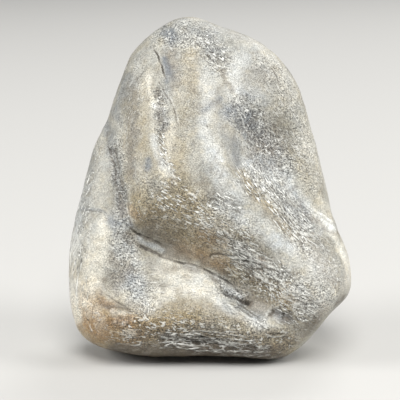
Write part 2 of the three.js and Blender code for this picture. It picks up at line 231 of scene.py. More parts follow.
# Cream: pale patches of the stone, and painted highlights along its rims and edges and beside its
# crease.
CREAM_AND_HIGHLIGHTS = {
    "slab edge": (1.14, 0.5, -20.5, -4, -20.4, -10.4, -21, -16.6),
    "slab foot": (1.87, 0.7, -22.4, -12, -23.2, -18.3),
    "saddle": (2.49, 0.55, -7.3, -14.5, -2.1, -17.4, 2.1, -18.3),
    "saddle left": (1.45, 0.35, -10.8, -21.2, -6.6, -19.5),
    "ledge": (0.6, 0.2, -10.2, 22, -10, 17.7, -9.4, 14.5, -8.3, 12, -7.5, 9, -6.2, 6.6, -5.9, 4.8),
    "shoulder line": (0.6, 0.5, 20.3, 1, 21.8, -1.5, 24.1, -3.1, 27.2, -5),
    "right edge": (1.2, 0.6, 30.1, -10, 30.9, -14.9, 30.1, -18.3),
    "rim": (1.25, 0.1, -4.2, 37.4, 3.1, 35.9, 10.4, 33, 16.6, 28.4),
    "lump": (0.9, 0.3, -17.9, -23.3, -16.2, -23.8),
    "lower lump": (0.9, 0.6, -15.3, -27.2, -13.6, -27.7),
    "corner spot": (0.75, 0.5, -24.1, -21.4, -23.7, -21.4),
    "trough right": (2.3, 0.4, 20, 5.5, 22.5, 1.5, 26, -2.5),
    "right rim": (1.2, 0.25, 19.5, 25, 21.5, 20, 23.5, 13, 25.6, 3),
    "left rim": (2, 0.6, -26.6, -8, -27, -13, -26.5, -17),
    "wedge left": (2.2, 0.4, -22, -9, -19.5, -11.5, -15, -12),
    "under the crease": (0.9, 0.3, -7, -14, -3, -14.8, 0, -15.6, 2.8, -17.2),
    "low shoulder line": (1, 0.6, 18.5, 3.5, 21, 0, 24.5, -4, 28, -7.5, 29.8, -12, 30.5, -15),
    "spindle left": (0.9, 0.5, -10.3, 26.5, -10.1, 22.5, -9.9, 20),
    "spindle right": (1.5, 0.4, -6.2, 16, -6, 11, -7, 6),
    "corner": (1.6, 0.2, -25, -17, -24, -21),
    "basin floor": (1.6, 0.35, -16.5, -18.5, -13, -20.5, -11, -22),
    "left low rim": (1.3, 0.9, -26.3, -17.5, -26.3, -21.5, -25.5, -25),
    "saddle low": (1.3, 0.3, -9.5, -18.3, -5, -18.6, -0.5, -19),
    "wedge side": (1.3, 0.35, -16, -7.8, -13, -9),
    "margin left": (1.2, 0.35, -12.3, 24, -12.2, 20.5),
    "middle": (3, 0.15, -5, 14, -1.5, 9),
    "belly": (2.5, 0.42, 1, -4, 6, -7, 4.5, -10),
    "along the crease": (0.9, 0.4, -4, -12.4, -1, -13.4, 2.5, -15.4, 5, -17.8),
    "right low": (2, 0.32, 19, -18, 23, -21.5),
    "corner middle": (1.9, 0.4, -24.2, -17.5, -23.6, -21, -23, -23),
}
# Cool pale patches, and painted highlights along the ridges and rims.
PEARL_AND_HIGHLIGHTS = {
    "ridge": (1.7, 0.4, 0.9, 24, 1, 16, 1.8, 9, 4, 4, 8, -1.5, 13, -6, 18, -9.5),
    "top": (2.2, 0.4, 8.7, 29, 7.2, 24),
    "top left": (1.3, 0.1, 2.5, 28.6, 2.3, 22.8),
    "hollow": (4, 0.3, 9, 20, 13, 10),
    "trough top": (2.2, 0.55, 10.5, 8, 14, 4.5),
    "trough": (2.4, 0.35, 15, 5, 18, 1.5, 21, -4),
    "belly patch": (1.8, 0.6, 4.5, -1.5, 8.5, -4.5),
    "lip": (1.7, 0.38, 4, -20.8, 8, -23.2, 12.5, -25.1),
    "basin": (3, 0.3, -16, -11, -14.5, -16, -13, -20),
    "shoulder": (1.3, 0.5, 18, 4, 20.5, 0.3, 24, -3, 27.5, -5.5),
    "lower right": (3, 0.4, 9, -11, 15, -14, 18, -11),
    "pit right": (2.4, 0.6, 20.5, -18, 22.3, -22.5, 24.5, -21),
    "wedge": (0.6, 0.4, -13, -8, -11.5, -8.9, -9.5, -9.8, -7.6, -10.8),
    "second wedge": (0.8, 0.4, 4.6, -17.8, 6.6, -18.8, 8.8, -20.3),
    "left edge": (2, 0.4, -24, 4, -25.5, -3, -26.5, -10),
    "spindle foot": (1.2, 0.5, -9.4, 13, -9, 10.5, -8, 8.2, -6.8, 6.3),
    "top left rim": (1.5, 0.15, -13.5, 27, -11.5, 31, -9, 35),
    "low shoulder": (1.2, 0.4, 19, -2, 22, -4, 24.5, -6.5),
    "left slab edge": (1, 0.4, -25, -2.5, -25.3, -7.5),
    "trough band": (0.7, 0.7, -9.6, 19.6, -7.8, 18.9),
    "ridge bend": (1.2, 0.4, 3, 8.5, 4.8, 5.5),
    "hollow end": (1.6, 0.35, 15, 9, 18, 6, 20, 3),
    "right edge": (3, 0.3, 24, -13, 27, -17),
    "saddle right": (3, 0.3, 0, -17, 8, -19),
    "fold foot": (2, 0.35, -17.5, -5, -16.5, -10),
    "ridge low": (1.3, 0.35, 3, 10, 5, 6, 8, 2, 9.5, -2, 11, -6, 16, -8.5),
}
# Painted shade under overhangs, in hollows and creases and along the foot, and darker brown patches of
# the stone.
PAINTED_SHADE_AND_DARK_PATCHES = {
    "overhang": (1.3, 0.35, -10.4, -6.6, -7.3, -8.3, -3.7, -10),
    "overhang top": (2.6, 0.43, -10.4, -4.6, -5.8, -7.3),
    "along the crease": (0.8, 0.05, -2.9, -10.8, 1.2, -12.9, 5.4, -14.9, 8.3, -17.6),
    "foot edge": (1.04, 0.9, -19.1, -31.8, -10.4, -32.6, 0, -32.8, 10.4, -33, 16.6, -33.2),
    "foot bands": (1.6, 0.95, -7.1, -29.5, 0, -31.1, 8.3, -31.3),
    "right pit": (0.83, 0.45, 17, -24.5, 17.6, -24.5),
    "corner strip": (0.62, 0.8, 27.8, -22.4, 30.7, -20.1),
    "foot roll": (1.6, 0.45, -12, -26.5, 0, -27.5, 10, -29),
    "foot top": (1.7, 0.3, -20, -21.5, -10, -23, 0, -22.5, 8, -25),
    "under the belly": (2.6, 0.22, -12, -3, -4, -6, 3, -9),
    "crease pit": (0.8, 0.9, 9, -20.5, 10.4, -21.4),
    "foot under": (1.8, 0.8, -17.5, -31, -10, -31.4, 5, -32, 16, -32),
    "hollow": (3.2, 0.1, 9, 18.5, 13, 14, 14.5, 9.5),
    "lower right": (2.2, 0.34, 10.5, -15.5, 14, -20),
    "left flank": (1.3, 0.3, -14, 23, -13.8, 15.5, -14.5, 6),
    "right corner": (1.4, 0.3, 28, -16.5, 30.5, -19),
    "foot corner": (1.5, 0.5, 17, -30, 21, -28, 24, -25),
    "belly": (3.2, 0.2, -9, -1.5, 0, -4, 7, -8),
    "foot left": (2.3, 0.1, -20, -27.5, -14, -26.8, -9, -27),
    "foot": (2.6, 0.32, -12, -28.5, 0, -28.5, 12, -29.5),
    "right shoulder": (2, 0.25, 11, 26, 14.5, 25),
    "right side": (2.4, 0.25, 24, -10, 27, -15),
    "blue patch right": (1.3, 0.45, -5.5, 31, -5.2, 24),
    "hollow foot": (1.3, 0.6, 11.8, 11, 15, 9.8),
    "fold line": (0.45, 0.1, -19, 11, -18, 6.5, -17.3, 2.5, -16, -1),
    "foot left top": (1.8, 0.15, -20.5, -24.6, -17.5, -26, -15, -26.6),
    "under the crease": (1, 0.4, -10, -13.8, -8, -14.6, -6, -14.6),
    "comma": (0.6, 0.6, 15.2, -22.8, 14.4, -23.9),
    "corner": (2.6, 0.1, -23, -24.5, -19, -26, -15.5, -26),
    "above the lump": (0.6, 0.4, -20.2, -22, -18.8, -22.3, -17.2, -22.2, -15.6, -22.6),
    "lower foot": (1.6, 0.3, 12, -27.5, 17, -28),
    "trough end": (1.2, 0.3, 18.5, -6.5, 20.8, -8.8),
    "rust spot": (1.3, 0.42, -17.8, -25, -15.2, -25.3),
    "lump left": (0.8, 0.4, -20.3, -21.2, -18.8, -22.2),
    "under the lump": (0.7, 0.35, -16, -28.5, -13, -28.7),
}

# Where fine pale grains lie densest.
FROST = {
    "middle": (5, 0.6, -9, 1, -1, -2, 8, -7),
    "lower right": (5, 0.6, 9, -13, 17, -18, 24, -20),
    "hollow": (4, 0.9, 9, 19, 13, 12, 17, 8),
    "trough": (3.5, 0.8, 12, 5, 17, -1, 22, -8),
    "shoulder": (3, 0.45, 13, 28, 19, 20, 22, 10, 24, 3),
    "fold": (1.6, 0.7, -17.6, 12, -16.6, 2, -16.4, -6),
    "basin": (3.5, 0.7, -16, -9, -14.5, -16, -12, -20),
    "foot": (3.5, 0.9, -13, -27, -5, -27, 8, -29, 17, -29),
    "trough patch": (2, 0.7, -8.3, 22, -8, 16),
    "top": (3.5, 0.7, -8, 35, 0, 33, 4, 29),
    "upper middle": (3, 0.2, -3, 28, -3, 18, -4, 8),
    "under": (3.5, 0.35, -12, -3, -4, -7, 4, -11, 9, -16),
    "foot left": (4, 0.35, -24, -22, -20, -27, -12, -26),
    "foot top": (2.5, 0.3, -12, -24, 2, -24.5, 10, -27),
    "left flank": (3, 0.2, -13, 27, -14.5, 16, -14, 4),
    "right edge": (3.5, 0.25, 23, -8, 27, -14, 25, -22),
    "second wedge": (1.5, 0.8, 4.6, -18.2, 8.8, -20.6),
}

# Where the surface has short flecks and wrinkles that all run one way: the way that they run, in
# degrees from the right, their length, width and height in millimetres, and where they are.
GRAIN = {
    "steep": (-54, 2, 0.42, 0.11, {
        "trough": (3.6, 0.8, 10.8, 5, 15.6, 0, 20.3, -6.5),
        "upper trough": (1.4, 0.8, -8.3, 14.5, -7.1, 9.3, -5.2, 4.6),
        "hollow": (3.4, 0.25, 9.8, 17.6, 13.7, 10.4),
        "top": (2.9, 0.55, 1, 32.2, 3.7, 29.9),
        "ridge": (5, 0.15, 3, 28, 1, 14, 5, 4),
        "shoulder": (4.5, 0.22, 17, 22, 21, 8),
    }),
    "slant": (-28, 1.7, 0.42, 0.13, {
        "lower right": (4.6, 0.9, 8.7, -10.6, 15.6, -16.6, 20.5, -22),
        "belly patch": (2.1, 0.8, 3.3, 0, 7.5, -1.5),
        "middle": (4, 0.52, -6.5, 0.8, 5.2, -6.6),
        "lip": (1.5, 0.6, 6, -21.5, 13, -25.5),
        "right edge": (4, 0.4, 22, -8, 28, -16),
    }),
    "level": (-2, 2.6, 0.44, 0.13, {
        "foot": (2.2, 0.8, -7, -28.8, 0, -29.6, 11.5, -30.6),
        "foot left": (1.7, 0.35, -18, -29.2, -9, -28.6),
        "foot roll": (2, 0.22, -14, -25, 8, -26),
        "saddle": (4, 0.2, -12, -18, 0, -18),
    }),
    "upright": (84, 3.6, 0.38, 0.02, {
        "slab": (4, 0.55, -24, 10, -26, -4, -26.5, -18),
        "left flank": (3, 0.25, -13.5, 29, -17, 13),
        "left middle": (3, 0.1, -12, 20, -13, 4),
    }),
}

# The back's marks are laid out as seen through the stone from in front, so that right stays right.
BACK_CRACKS = {
    "long split": (0.18, 0.4, -13, 16, -10.5, 11, -8.5, 7.5, -5, 4.5),
    "its end": (0.14, 0.25, -2.2, 0.5, -1, -3, 0.5, -6),
    "short split": (0.15, 0.25, -2, 24, 1.5, 20, 3, 15),
    "fold line": (0.18, 0.35, -22, 5, -17.5, -3, -14, -10, -12.5, -18),
    "heel nick": (0.2, 0.3, 6, -22, 10, -23.5, 13, -23),
    "hair line": (0.12, 0.15, 8, 12, 12, 9, 17, 8.5),
    "long hair line": (0.12, 0.15, 12, 24, 9, 17, 8, 11),
}
BACK_LEDGES = {
    "long ledge": (0.18, 0.1, 3, 26, 7, 18, 9.5, 8, 10, -2),
    "short ledge": (0.16, 0.1, -16, -2, -11, -3.5, -7, -3),
    "low ledge": (0.16, 0.1, -8, -20, -2, -21.5, 4, -20.5),
}
BACK_BUMPS = {
    "long ridge": (3.2, 0.7, -6, 30, -3, 18, 3, 6, 11, -6, 17, -14),
    "side ridge": (2.2, 0.5, -20, 8, -17, -4, -15, -16),
    "low roll": (3, 0.5, -14, -22, -2, -24, 10, -25),
    "shoulder": (3, 0.4, 14, 22, 18, 10),
}
BACK_DENTS = {
    "long groove": (2.6, 0.7, -12, 22, -9, 10, -4, -2, 4, -12),
    "hollow": (4, 0.6, 9, 16, 13, 6),
    "low groove": (2, 0.5, -10, -17, 0, -19, 9, -19.5),
    "pit": (1.2, 0.35, 16, -18, 17.5, -19),
}
BACK_GRAIN = {
    "slant": {"groove": (3, 0.5, -9, 10, -4, -2, 4, -12)},
    "level": {"heel": (2.4, 0.6, -14, -27, 0, -28, 13, -26.5)},
    "upright": {"left edge": (4, 0.5, -22, 8, -25, -12)},
    "steep": {"hollow": (3, 0.5, 8, 18, 12, 4)},
}

# Each kind of mark kept as an attribute: stains, frost, and the painted shade and highlights in shade,
# cream and pearl.
STAINS_AND_PAINTED_LIGHT = {
    "slate": SLATE, "tan": TAN, "rust": RUST, "cream": CREAM_AND_HIGHLIGHTS, "pearl": PEARL_AND_HIGHLIGHTS, "shade": PAINTED_SHADE_AND_DARK_PATCHES,
    "frost": FROST,
}

# Layers of noise: each layer's size in millimetres, its strength and a seed. The first two have
# one seed for the way across and another for the way up.
DRIFT = ((4.5, 0.9, 4, 6), (1.7, 0.45, 5, 7))  # of the edges of stains, painted shade and highlights
WAVER = ((1.3, 0.2, 8, 9), (0.5, 0.1, 16, 17))  # of cracks and ledges
SWELLS = ((6.5, 0.22, 1), (2.8, 0.09, 2), (1.3, 0.035, 3))  # of the whole surface
BEND = ((2.2, 0.35, 21),)  # of wrinkles
BREAKS = ((1.4, 1, 18),)  # in cracks and ledges
CLOUDS = ((9, 1, 10), (3.5, 0.5, 11))  # the sides' patterns
VEINS = ((6, 1, 12), (2.5, 0.5, 13))
DROPS = ((7, 1, 14), (2.5, 0.4, 15))

# Stains round the sides and on the back: the pattern that each follows or, with -1, avoids, where
# it sets in and is full, its share, and how much larger that is low down.
SIDE_STAINS = {
    "slate": (VEINS, 1, 0.05, 0.9, 0.6, 0),
    "tan": (CLOUDS, 1, -0.3, 0.7, 0.3, 0.3),
    "rust": (DROPS, 1, 0.1, 0.8, 0.1, 0.4),
    "pearl": (VEINS, -1, 0.1, 0.9, 0.6, 0),
    "cream": (CLOUDS, -1, -0.2, 0.7, 0.88, 0),
    "frost": (VEINS, 1, 0, 0.9, 0.7, 0),
}
# Turns places by 23 degrees and shortens their heights, which draws the sides' stains out.
SIDE_STRETCH = np.array(((0.92, 0, 0.16), (0, 1, 0), (-0.39, 0, 0.37)))
SIDE_DRIFT = 0.5  # of what other stains' edges drift
LOW_DOWN = (8, 22)  # mm up, where what is low down thins out and ends

MERGE_DISTANCE = 1e-7
DIVISIONS = 2  # of the whole stone, each halving its edges, to about 0.4 mm
SMOOTHINGS = 2  # after each of them
FINE_REACH = 0.5  # mm to either side of a line where the edges are halved once more
FINE_GRAIN_SHARE = 0.45  # of a grain's full strength, past which they are too
FINE_GRAIN_HEIGHT = 0.04  # mm, if the grain is higher than that
FLAT_HEIGHT = 0.02 * MM  # what is lower stands on the floor
FLOOR_FADE = (0.05 * MM, 1.2 * MM)  # marks set in over this height
FRONT_FADE = (-0.12, 0.12)  # a mark fades out where the surface turns away from its face
BACK_FADE = (0.12, 0.36)
BROAD_PASSES = 110  # of evening out, to find broad hollows
FINE_PASSES = 6  # and to find fine dips
MOUND_REACH = 2  # half widths that a soft mark reaches
MOUND_FALL = 1.2  # how fast it falls off
LINE_REACH = 1.6  # half widths that a crack or a ledge reaches
LINE_END = (-0.05, 0.25)  # of its length, where it rises to its height
FAINT_SHARE = 0.3  # of its height, in its breaks
BREAK_FADE = (-0.35, 0.25)
LEAST_GRAIN = 0.02
BACK_DRIFT = 0.6  # of what stains' edges drift, for the lines on the back
WRINKLE_SHARPNESS = 3.2
WRINKLE_SEED = 31
LEDGE_SHADOW = 0.28  # mm that a ledge's painted shadow line lies below it
DARK_CRACK = 0.35  # mm deep, where a crack is fully dark
PALE_LEDGE = 0.12  # mm high, where a ledge is fully pale
FULL_LEDGE_SHADOW = 0.1  # mm that the ledge above rises, where its painted shadow line is fully dark


def linear(red, green, blue):
    """A screen colour, 0 to 255, as the shader's linear colour."""
    def channel(value):
        value /= 255
        return value / 12.92 if value <= 0.04045 else ((value + 0.055) / 1.055) ** 2.4
    return channel(red), channel(green), channel(blue), 1.0


WARM_GREY = linear(150, 147, 136)
PALE_GREY = linear(172, 170, 161)
CREAM_WHITE = linear(224, 220, 207)
# Brown for painted shade, for dark patches of the stone and for its blotches.
SHADE_AND_STAIN_BROWN = linear(92, 82, 68)
CRACK_DARK = linear(58, 54, 48)
CHALK_WHITE = linear(246, 246, 240)
# Dark for the stone between flecks, and for painted shadow lines and painted shade between wrinkle
# crests.
FLECK_DARK = linear(58, 55, 49)
# The stains, painted shade and painted highlights, in the order in which they lie over one another.
STAIN_AND_PAINTED_LIGHT_COLOURS = {
    "tan": linear(148, 134, 102),
    "rust": linear(160, 127, 86),
    "cream": CREAM_WHITE,
    "pearl": linear(214, 217, 216),
    "slate": linear(116, 120, 123),
    "shade": SHADE_AND_STAIN_BROWN,
}
# How strongly lines tell, and their colours.
LINE_COLOURS = {
    # The painted shadow line under each ledge.
    "shadow_under_ledge": (0.6, FLECK_DARK),
    # Ledges pale along their crests, partly as painted highlight.
    "ledge": (0.6, CHALK_WHITE),
    # Cracks dark within, partly as painted shade.
    "crack": (0.85, CRACK_DARK),
}
# Colours that follow a value: where they set in and are full, their share there and the colour.
HAZE_SHADES = ((0.35, 0.65, 1.0, PALE_GREY),)
# Painted shade in broad hollows, and paler ridges.
HOLLOW_SHADES = ((0.1, 0.9, 0.12, SHADE_AND_STAIN_BROWN), (-0.1, -0.6, 0.15, CREAM_WHITE))
BLOTCH_SHADES = ((0.48, 0.32, 0.32, SHADE_AND_STAIN_BROWN), (0.52, 0.7, 0.2, CREAM_WHITE))
TINT_SHADES = ((0.5, 0.7, 0.4, linear(255, 246, 228)), (0.5, 0.3, 0.4, linear(238, 245, 255)))
# Painted shade in fine dips, and paler fine crests.
DIP_SHADES = ((0.005, 0.05, 0.45, SHADE_AND_STAIN_BROWN), (-0.02, -0.08, 0.12, CHALK_WHITE))
# Painted highlights on wrinkle crests and painted shade between them.
CREST_SHADES = ((0.35, 0.9, 0.6, CHALK_WHITE), (-0.3, -0.9, 0.55, FLECK_DARK))

# Noise that the material draws with: its size, detail, roughness and distortion.
SPECKLE = (0.26 * MM, 1, 0.6)
SAND = (0.36 * MM, 0)
MOTTLE = (1.5 * MM, 3, 0.6)
TINT = (2.4 * MM, 2, 0.6)
BLOTCHES = (2.6 * MM, 4, 0.65, 0.6)
PATCHES = (4.5 * MM, 3, 0.6)
HAZE = (11 * MM, 2, 0.5)
HAIR_PIECES = (1.3 * MM, 1)
FLECK_GAPS = (1.3, 1, 0.5)  # its size in flecks
# Lines that it draws: their size, how far to either side they end and are full, and their curl.
HAIRS = (0.75 * MM, 0.08, 0.02, 0.6)
PALE_FLECKS = (1, 0.1, 0.05, 0.3)
# The painted shadow lines under the pale flecks.
PAINTED_SHADOW_LINES = (1, 0.12, 0.05, 0.3)

UNEVENNESS = (0.8, 1.1)  # of stains, painted shade and highlights: the patches' share and the mottle's
EDGE_REACH = 1.35  # a stain would be even where its share is this high
GRIT = (0.3, 0.7, -0.88, 0.76)  # where speckle is dark and pale, and how much so
GRIT_SHARE = (0.5, 0.34)  # more of it where the stone is frosted, and everywhere
PALE_SAND = (0.58, 0.68, 0, 0.6)  # pale grains where its noise is high
DARK_SAND = (0.42, 0.32, 0, 0.6)
HAIR_ENDS = (0.46, 0.54)  # where noise breaks hairs off
HAIR_SHARE = (0.7, 0.3)  # likewise
# Hairlines lighten the stone; the painted shadow line under each darkens it.
HAIR_PALE = 0.55
HAIR_SHADOW_SHARE = -0.4
HAIR_SHADOW = 0.17 * MM  # how far each hairline's painted shadow line lies below
DARKEST = 0.2  # of a stain's own tone
PALE_GAPS = (0.49, 0.54)  # where noise breaks flecks off
SHADOW_LINE_GAPS = (0.48, 0.53)
FLECK_SHADOW = 0.3  # of their width, how far the painted shadow lines lie below the pale flecks
FLECK_LENGTH = 0.95  # of the wrinkles'
FLECK_WIDTH = 0.84
SPARSE = 0.11  # how much sparser flecks get where they have less of a share
FULL_FLECKS = 1.7  # makes them strong where they have a fair share
SCATTERED = (0.4, -0.35, 1.0, 0.6)  # the frost's flecks: share, turn in radians, length and width
BETWEEN_SHARE = 0.29  # how strongly the stone between flecks, the flecks' painted shadow lines and the pale flecks tell
SHADOW_LINE_SHARE = 0.9
PALE_SHARE = 0.95
ROUGHNESS = (0.3, 0.7, 0.3, 0.52)  # where mottle is smooth and rough, and how much so
CRACK_ROUGHNESS = 0.3
RELIEF = (0.45, 0.8, -0.6, 0.5)  # of the speckle, the pale flecks, their painted shadow lines and the hairs
RELIEF_HEIGHT = 0.2 * MM

FLOOR_REACH = 6.0
FLOOR_COLOUR = linear(188, 187, 184)
FLOOR_ROUGHNESS = 0.9
# Each light's place, width and power.
LIGHTS = {
    "key": ((0.05, -1.0, 1.4), 1.0, 28.4),
    "left_fill": ((-1.3, -0.35, 0.75), 0.8, 15.5),
    "right_fill": ((1.3, -0.35, 0.75), 0.8, 15.5),
    "rim": ((0.45, 0.9, 1.0), 0.9, 8.5),
}
LIGHT_COLOUR = (1.0, 0.995, 0.985)
GLOW_COLOUR = (0.93, 0.96, 1.0, 1.0)
GLOW_STRENGTH = 0.15


def smoothstep(value, low, high):
    """0 below low, 1 above high and an S between them."""
    t = np.clip((value - low) / (high - low), 0, 1)
    return t * t * (3 - 2 * t)


def rounded_line(points, steps=5):
    """A smooth line through the points."""
    corners = np.reshape(points, (-1, 2)).astype(float)
    if len(corners) == 2:
        return corners
    padded = np.vstack([2 * corners[0] - corners[1], corners, 2 * corners[-1] - corners[-2]])
    line = [corners[0]]
    for a, b, c, d in zip(padded, padded[1:], padded[2:], padded[3:]):
        for step in range(1, steps + 1):
            t = step / steps
            bend = 2 * a - 5 * b + 4 * c - d + t * (3 * (b - c) + d - a)
            line.append(b + 0.5 * t * (c - a + t * bend))
    return np.array(line)


def along_line(u, v, points, reach):
    """Which places are within reach of a line, how far off each is and how far along, 0 to 1."""
    line = rounded_line(points)
    low = line.min(axis=0) - reach
    high = line.max(axis=0) + reach
    near = np.nonzero((u > low[0]) & (u < high[0]) & (v > low[1]) & (v < high[1]))[0]
    place = np.column_stack([u[near], v[near]])
    distance = np.full(len(near), np.inf)
    along = np.zeros(len(near))
    lengths = np.linalg.norm(np.diff(line, axis=0), axis=1)
    starts = np.concatenate([[0], np.cumsum(lengths)])
    for start, end, length, before in zip(line, line[1:], lengths, starts):
        t = np.clip((place - start) @ (end - start) / length ** 2, 0, 1)
        away = np.linalg.norm(place - start - t[:, None] * (end - start), axis=1)
        closer = away < distance
        distance[closer] = away[closer]
        along[closer] = (before + t[closer] * length) / starts[-1]
    inside = distance < reach
    return near[inside], distance[inside], along[inside]


def mounds(u, v, marks):
    """For each soft mark, the places that it reaches and what it adds there."""
    for width, strength, *line in marks.values():
        near, distance, _ = along_line(u, v, line, MOUND_REACH * width)
        yield near, strength * np.exp(-MOUND_FALL * (distance / width) ** 3)


def spread(u, v, marks):
    """How strongly a kind of stain, painted shade or painted highlight covers each place, 0 to 1."""
    clear = np.ones(len(u))
    for near, cover in mounds(u, v, marks):
        clear[near] *= 1 - cover
    return 1 - clear


def soft_height(u, v, marks):
    """How high bumps stand, or how deep dents are, at each place."""
    height = np.zeros(len(u))
    for near, rise in mounds(u, v, marks):
        height[near] = np.maximum(height[near], rise)
    return height


def line_height(u, v, marks):
    """How deep cracks or how high ledges are at each place, in a V that tapers at both ends."""
    height = np.zeros(len(u))
    for width, full_height, *line in marks.values():
        near, distance, along = along_line(u, v, line, LINE_REACH * width)
        taper = smoothstep(along, *LINE_END) * smoothstep(1 - along, *LINE_END)
        shape = 1 - smoothstep(distance / width, 0, LINE_REACH)
        height[near] = np.maximum(height[near], full_height * taper * shape)
    return height


def noise_at(points, size, seed):
    """Smooth noise at points in mm, -1 to 1, with bumps of about that size."""
    shift = Vector((17.3, 5.1, -11.9)) * seed
    return np.array([noise.noise(Vector(point) + shift) for point in points / size])


def layered(points, layers, way=0):
    """Layers of noise together, with each layer's seed for one way."""
    return sum(strength * noise_at(points, size, seeds[way]) for size, strength, *seeds in layers)


def face_places(points, side):
    """Where points are seen on the face, from in front with side 1, or from behind with side -1."""
    offset = points - FACE_MIDDLE
    nearness = side * offset @ FACE_OUT
    scale = EYE_DISTANCE / (EYE_DISTANCE - nearness) / MM
    return offset[:, 0] * scale, offset @ FACE_UP * scale


def vertex_values(values, name):
    """Every vertex's place or normal as rows of three."""
    flat = np.empty(len(values) * 3)
    values.foreach_get(name, flat)
    return flat.reshape(-1, 3)


def halve(bm, edges):
    """Halves edges and closes what is left between them with triangles."""
    bmesh.ops.subdivide_edges(bm, edges=edges, cuts=1, use_grid_fill=True)
    bmesh.ops.triangulate(bm, faces=[face for face in bm.faces if len(face.verts) > 3])


def soften(bm, passes):
    """Evens out the stone, but for the flat that it stands on."""
    free = [vertex for vertex in bm.verts if vertex.co.z > FLAT_HEIGHT]
    for _ in range(passes):
        bmesh.ops.smooth_vert(
            bm, verts=free, factor=0.5, use_axis_x=True, use_axis_y=True, use_axis_z=True
        )


def near_lines(u, v, *kinds):
    """Whether each place is close enough to a crack or a ledge to need the finest mesh."""
    found = np.zeros(len(u), dtype=bool)
    for marks in kinds:
        for width, _, *line in marks.values():
            near, _, _ = along_line(u, v, line, width + FINE_REACH)
            found[near] = True
    return found


def finely_marked(bm):
    """The faces that carry the finest marks."""
    centres = np.array([face.calc_center_median() for face in bm.faces])
    facing = np.array([face.normal for face in bm.faces]) @ FACE_OUT
    u, v = face_places(centres, 1)
    front = near_lines(u, v, CRACKS, LEDGES)
    for _, _, _, height, marks in GRAIN.values():
        if height > FINE_GRAIN_HEIGHT:
            front |= spread(u, v, marks) > FINE_GRAIN_SHARE
    back = near_lines(*face_places(centres, -1), BACK_CRACKS, BACK_LEDGES)
    wanted = np.where(facing > 0, front, back)
    return [face for face, fine in zip(bm.faces, wanted) if fine]


def divided_stone(source):
    """A copy of the stone, with its doubles merged and its faces made small."""
    bm = bmesh.new()
    bm.from_mesh(source.data)
    bmesh.ops.remove_doubles(bm, verts=bm.verts, dist=MERGE_DISTANCE)
    for _ in range(DIVISIONS):
        halve(bm, bm.edges[:])
        soften(bm, SMOOTHINGS)
    bm.normal_update()
    halve(bm, list({edge for face in finely_marked(bm) for edge in face.edges}))
    soften(bm, 1)
    mesh = bpy.data.meshes.new("stone_surface")
    bm.to_mesh(mesh)
    bm.free()
    return mesh


def hollowness(mesh, points, normals, passes):
    """How far each vertex lies below the surface around it, in mm: more in hollows, less on ridges."""
    ends = np.empty(len(mesh.edges) * 2, dtype=np.int32)
    mesh.edges.foreach_get("vertices", ends)
    pairs = ends.reshape(-1, 2)
    here, beside = np.vstack([pairs, pairs[:, ::-1]]).T
    count = np.bincount(here)[:, None]
    even = points
    for _ in range(passes):
        total = np.column_stack([np.bincount(here, axis[beside]) for axis in even.T])
        even = 0.5 * even + 0.5 * total / count
    below = np.einsum("ij,ij->i", even - points, normals)
    return below - np.median(below)


def wrinkled(points, u, v, share, turn, length, width):
    """Wrinkles that run one way, 1 on their sharp crests and -1 between, where they have a share."""
    heights = np.zeros(len(u))
    near = np.nonzero(share > LEAST_GRAIN)[0]
    angle = math.radians(turn)
    along = u[near] * math.cos(angle) + v[near] * math.sin(angle)
    across = v[near] * math.cos(angle) - u[near] * math.sin(angle) + layered(points[near], BEND)
    depth = points[near, 1]
    stretched = np.column_stack([along / length, across / width, depth / (2 * width)])
    sharp = 1 - WRINKLE_SHARPNESS * np.abs(noise_at(stretched, 1, WRINKLE_SEED))
    heights[near] = share[near] * np.maximum(sharp, -1)
    return heights


def line_marks(points, front, back, front_at, back_at):
    """How deep cracks and how high ledges are, and how dark the painted shadow lines under the ledges
    are, in mm.
    """
    breaks = FAINT_SHARE + (1 - FAINT_SHARE) * smoothstep(layered(points, BREAKS), *BREAK_FADE)
    crack = front * line_height(*front_at, CRACKS) + back * line_height(*back_at, BACK_CRACKS)
    ledge = front * line_height(*front_at, LEDGES) + back * line_height(*back_at, BACK_LEDGES)
    u, v = front_at
    # A painted shadow line just below each ledge.
    shadow_under_ledge = front * line_height(u, v + LEDGE_SHADOW, LEDGES) - ledge
    return crack * breaks, ledge * breaks, shadow_under_ledge * breaks


def side_stains(points, drift_u, drift_v):
    """Each stain's share round the sides and on the back."""
    drawn = points @ SIDE_STRETCH + SIDE_DRIFT * np.column_stack([drift_u, drift_v, drift_u])
    patterns = {layers: layered(drawn, layers) for layers in (CLOUDS, VEINS, DROPS)}
    low_down = 1 - smoothstep(points[:, 2], *LOW_DOWN)
    return {
        name: (share + more * low_down) * smoothstep(sign * patterns[layers], low, high)
        for name, (layers, sign, low, high, share, more) in SIDE_STAINS.items()
    }


